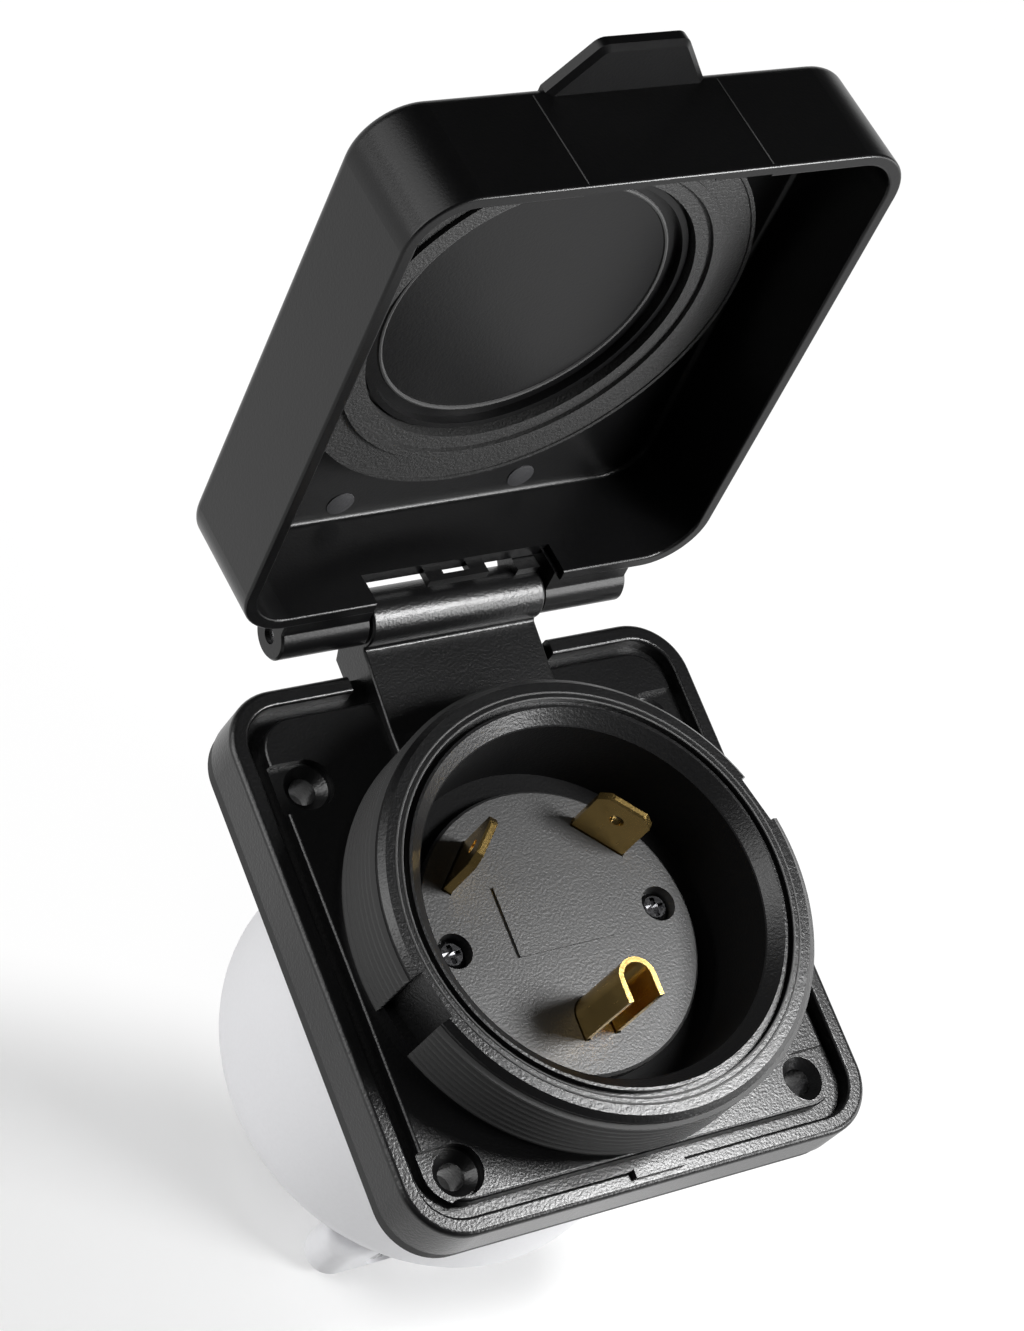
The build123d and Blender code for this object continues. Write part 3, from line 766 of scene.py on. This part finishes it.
class INLET_OT_mouldings(bpy.types.Operator):
    """Finish the black, grey and white mouldings"""

    bl_idname = "inlet.mouldings"
    bl_label = "Finish the mouldings"

    def execute(self, context):
        colours = context.scene.inlet_colours
        grain = context.scene.inlet_grain
        carrier_coarseness, cover_spread = 1.2, 1.5
        paint(["flange_housing"], housing_plastic("housing_black", colours.housing, grain))
        lid = moulded_plastic(
            "lid_black",
            colours.lid,
            roughness=grain.roughness,
            spacing=grain.spacing,
            depth=grain.lid_depth,
            sheen=0.24,
        )
        paint(["lid"], lid)
        carrier = moulded_plastic(
            "carrier_grey",
            colours.carrier,
            roughness=0.42,
            spacing=grain.spacing,
            depth=grain.depth * carrier_coarseness,
            sheen=0.5,
        )
        paint(["contact_carrier", "terminal_block"], carrier)
        cover = moulded_plastic(
            "cover_white",
            colours.cover,
            roughness=0.42,
            spacing=grain.spacing * cover_spread,
            depth=grain.lid_depth,
            sheen=0.5,
            speckle=0.03,
        )
        paint(["rear_cover", "cord_clamp"], cover)
        return {"FINISHED"}


class INLET_OT_rubber(bpy.types.Operator):
    """Finish the gaskets, the grommet and the lid seal"""

    bl_idname = "inlet.rubber"
    bl_label = "Finish the rubber"

    def execute(self, context):
        colour = context.scene.inlet_colours.rubber
        gasket = new_finish("gasket_rubber")
        pores = gasket.noise(gasket.place(), spacing=0.0009, detail=4.0, roughness=0.65)
        skin = uneven_skin(gasket, pores, colour, tones=(0.7, 1.4), roughness=(0.62, 0.78), depth=0.00005)
        paint(["wall_gasket", "carrier_gasket", "cable_grommet"], gasket.surface(skin))
        seal = new_finish("seal_rubber")
        pits = seal.noise(seal.place(), spacing=0.0005, roughness=0.6)
        skin = uneven_skin(seal, pits, colour, tones=(0.5, 2.0), roughness=(0.45, 0.65), depth=0.0002)
        paint(["lid_seal"], seal.surface(skin))
        return {"FINISHED"}


class INLET_OT_metal(bpy.types.Operator):
    """Finish the brass contacts, the screws and the hinge pin"""

    bl_idname = "inlet.metal"
    bl_label = "Finish the metal"

    def execute(self, context):
        colours = context.scene.inlet_colours
        brass = new_finish("brass")
        point = brass.place()
        drawn = brass.vector("MULTIPLY", point, (1.0, 1.0, 0.08))
        scratch = brass.noise(drawn, spacing=0.0003, detail=3.0, roughness=0.6)
        stain = brass.noise(point, spacing=0.004)
        brass.surface(
            {
                "Base Color": brass.mottle(stain, colours.brass, darkest=0.8, lightest=1.1),
                "Metallic": 1.0,
                "Roughness": 0.16 + 0.16 * scratch,
                "Normal": brass.bump(scratch, distance=0.00001),
            }
        )
        contacts = [
            "line_blade",
            "neutral_blade",
            "ground_pin",
            "line_clamp_plate",
            "neutral_clamp_plate",
            "ground_clamp_plate",
        ]
        paint(contacts, brass.owner)
        # Painted shade: the carrier screws get a dark plating that stands in for the shade and dark
        # reflections in their recesses
        paint(["carrier_screws"], plated("painted_screw_shade", colours.painted_screw_shade, roughness=0.14))
        fasteners = [
            "hinge_pin",
            "cover_screws",
            "clamp_screws",
            "line_terminal_screw",
            "neutral_terminal_screw",
            "ground_terminal_screw",
        ]
        paint(fasteners, plated("steel", colours.steel, roughness=0.2))
        return {"FINISHED"}


class INLET_OT_thread(bpy.types.Operator):
    """Wind the thread round the collar, broken at the bayonet notches"""

    bl_idname = "inlet.thread"
    bl_label = "Wind the collar thread"

    def execute(self, context):
        thread = context.scene.inlet_thread
        mesh = bmesh.new()
        half_gap = math.asin(thread.notch_width / 2 / thread.root_radius)
        sweep = math.pi - 2 * half_gap
        halves = int(2 * (thread.high - thread.low) / thread.pitch)
        for half in range(halves):
            start = thread.notch_angle + half * math.pi + half_gap
            wind_ridge(mesh, thread, start, sweep, thread.low + half * thread.pitch / 2)
        new_piece("collar_thread", mesh, "inlet", "housing_black")
        return {"FINISHED"}


class INLET_OT_beads(bpy.types.Operator):
    """Spin the fine rings on the collar's front and inside the lid"""

    bl_idname = "inlet.beads"
    bl_label = "Spin the rings"

    def execute(self, context):
        beads = context.scene.inlet_beads
        roof = context.scene.inlet_marks.roof_height
        front = bmesh.new()
        for radius in beads.face_radii:
            spin_bead(front, radius, beads.face_bead, beads.face_height, beads.steps)
        new_piece("collar_rings", front, "inlet", "housing_black")
        inside = bmesh.new()
        spin_bead(inside, beads.lid_radius, -beads.lid_bead, roof, beads.steps)
        bmesh.ops.transform(inside, matrix=open_lid(), verts=inside.verts)
        new_piece("lid_ring", inside, "cover_lid", "lid_black")
        return {"FINISHED"}


class INLET_OT_marks(bpy.types.Operator):
    """Set the ejector marks inside the lid and the parting lines on its free wall"""

    bl_idname = "inlet.marks"
    bl_label = "Set the mould marks"

    def execute(self, context):
        self.set_ejector_marks(context.scene)
        self.set_parting_lines(context.scene.inlet_marks)
        return {"FINISHED"}

    def set_ejector_marks(self, scene):
        """Two pale discs inside the lid."""
        marks, grain = scene.inlet_marks, scene.inlet_grain
        across, along = marks.ejector_place
        discs = bmesh.new()
        for side in (-1, 1):
            bmesh.ops.create_cone(
                discs,
                cap_ends=True,
                segments=40,
                radius1=marks.ejector_radius,
                radius2=marks.ejector_radius,
                depth=2 * marks.ejector_height,
                matrix=Matrix.Translation((side * across, along, marks.roof_height)),
            )
        rims = [edge for edge in discs.edges if is_level(edge)]
        round_edges(discs, rims, marks.ejector_height * ejector_rounding)
        bmesh.ops.transform(discs, matrix=open_lid(), verts=discs.verts)
        skin = moulded_plastic(
            "ejector_skin",
            [channel * marks.ejector_paleness for channel in scene.inlet_colours.lid],
            roughness=0.5,
            spacing=grain.spacing,
            depth=grain.depth,
            sheen=0.4,
        )
        new_piece("ejector_marks", discs, "cover_lid", "lid_black", skin)

    def set_parting_lines(self, marks):
        """Two fine raised lines down the lid's free wall."""
        low, high = marks.parting_span
        size = Matrix.Diagonal((marks.parting_width, 2 * marks.parting_height, high - low, 1))
        lines = bmesh.new()
        for side in (-1, 1):
            place = Matrix.Translation((side * marks.parting_offset, -marks.free_wall, (low + high) / 2))
            bmesh.ops.create_cube(lines, size=1.0, matrix=place @ size)
        round_edges(lines, lines.edges[:], marks.parting_height * parting_rounding)
        bmesh.ops.transform(lines, matrix=open_lid(), verts=lines.verts)
        new_piece("parting_lines", lines, "cover_lid", "lid_black")


class INLET_OT_stage(bpy.types.Operator):
    """Set the floor, the lamps, the world and the camera"""

    bl_idname = "inlet.stage"
    bl_label = "Set the stage"

    def execute(self, context):
        stage = context.scene.inlet_stage
        self.lay_floor(stage)
        self.light_world(context.scene, stage)
        for name, (place, side, power) in lamps.items():
            self.hang_lamp(name, place, side, power)
        self.set_camera(context.scene, stage)
        context.scene.view_settings.view_transform = "Standard"
        return {"FINISHED"}

    def lay_floor(self, stage):
        """A pale floor that shows the object's shadow in a round patch and is white outside it."""
        mesh = bmesh.new()
        level = Matrix.Translation((0, 0, cad_box[0][2] - floor_gap))
        bmesh.ops.create_grid(mesh, x_segments=1, y_segments=1, size=floor_reach, matrix=level)
        finish = new_finish("floor")
        apart = finish.vector("DISTANCE", finish.place(), tuple(stage.fade_centre), output="Value")
        radius, half_width = stage.fade_radius, stage.fade_width / 2
        far = finish.node(
            "ShaderNodeMapRange",
            {"interpolation_type": "SMOOTHSTEP"},
            {"Value": apart, "From Min": radius - half_width, "From Max": radius + half_width},
        )
        tint = finish.blend(far, rgba(stage.floor), rgba(stage.far_floor))
        light = finish.blend(far, rgba((stage.floor_glow,) * 3), rgba((stage.far_glow,) * 3))
        diffuse = finish.node("ShaderNodeBsdfDiffuse", {}, {"Color": tint})
        seen = self.seen_directly(finish)
        glow = finish.node("ShaderNodeEmission", {}, {"Color": light, "Strength": seen})
        both = finish.node("ShaderNodeAddShader", {}, {0: diffuse, 1: glow})
        finish.node("ShaderNodeOutputMaterial", {}, {"Surface": both})
        data = mesh_data("floor", mesh)
        data.materials.append(finish.owner)
        floor = show("floor", data)

    def seen_directly(self, finish):
        """1 for rays from the camera, from gloss and through glass, and 0 for the rest."""
        camera = finish.node("ShaderNodeLightPath", output="Is Camera Ray")
        glossy = finish.node("ShaderNodeLightPath", output="Is Glossy Ray")
        clear = finish.node("ShaderNodeLightPath", output="Is Transmission Ray")
        return camera.math("MAXIMUM", glossy).math("MAXIMUM", clear)

    def light_world(self, scene, stage):
        """An even dim light from all round."""
        world = bpy.data.worlds.new("studio")
        scene.world = world
        finish = Finish(world)
        sky = finish.node("ShaderNodeBackground", {}, {"Color": (1, 1, 1, 1), "Strength": stage.sky})
        finish.node("ShaderNodeOutputWorld", {}, {"Surface": sky})

    def hang_lamp(self, name, place, side, power):
        """A square soft lamp that faces the object."""
        lamp = bpy.data.lights.new(name, "AREA")
        lamp.shape = "SQUARE"
        lamp.size = side
        lamp.energy = power
        aim = Vector(lamp_target) - Vector(place)
        turn = aim.to_track_quat("-Z", "Y").to_matrix().to_4x4()
        show(name, lamp).matrix_world = Matrix.Translation(place) @ turn

    def set_camera(self, scene, stage):
        """A camera above the inlet and to its left."""
        gaze = Vector(stage.gaze).normalized()
        right = gaze.cross(Vector(stage.upright)).normalized()
        upright = right.cross(gaze)
        lens = bpy.data.cameras.new("camera")
        lens.lens = stage.focal_length
        lens.sensor_fit = "AUTO"
        lens.sensor_width = 36.0
        lens.clip_start = 0.01
        turn = Matrix((right, upright, -gaze)).transposed().to_4x4()
        scene.camera = show("camera", lens)
        scene.camera.matrix_world = Matrix.Translation(stage.eye) @ turn


class INLET_PT_panel(bpy.types.Panel):
    """Sizes, colours and steps of the inlet"""

    bl_idname = "INLET_PT_panel"
    bl_label = "Caravan power inlet"
    bl_space_type = "VIEW_3D"
    bl_region_type = "UI"
    bl_category = "Inlet"

    def draw(self, context):
        layout = self.layout
        for group in groups:
            settings = getattr(context.scene, group)
            for name in settings.bl_rna.properties.keys():
                if name not in {"rna_type", "name"}:
                    layout.prop(settings, name)
        for step in steps:
            layout.operator(step.bl_idname)


groups = {
    "inlet_colours": InletColours,
    "inlet_grain": InletGrain,
    "inlet_thread": InletThread,
    "inlet_beads": InletBeads,
    "inlet_marks": InletMarks,
    "inlet_stage": InletStage,
}
steps = (
    INLET_OT_mouldings,
    INLET_OT_rubber,
    INLET_OT_metal,
    INLET_OT_thread,
    INLET_OT_beads,
    INLET_OT_marks,
    INLET_OT_stage,
)


def register():
    for name, group in groups.items():
        bpy.utils.register_class(group)
        setattr(bpy.types.Scene, name, PointerProperty(type=group))
    for step in steps:
        bpy.utils.register_class(step)
    bpy.utils.register_class(INLET_PT_panel)


def unregister():
    bpy.utils.unregister_class(INLET_PT_panel)
    for step in reversed(steps):
        bpy.utils.unregister_class(step)
    for name, group in groups.items():
        delattr(bpy.types.Scene, name)
        bpy.utils.unregister_class(group)


def main():
    register()
    bpy.ops.inlet.mouldings()
    bpy.ops.inlet.rubber()
    bpy.ops.inlet.metal()
    bpy.ops.inlet.thread()
    bpy.ops.inlet.beads()
    bpy.ops.inlet.marks()
    bpy.ops.inlet.stage()


if __name__ == "__main__":
    main()
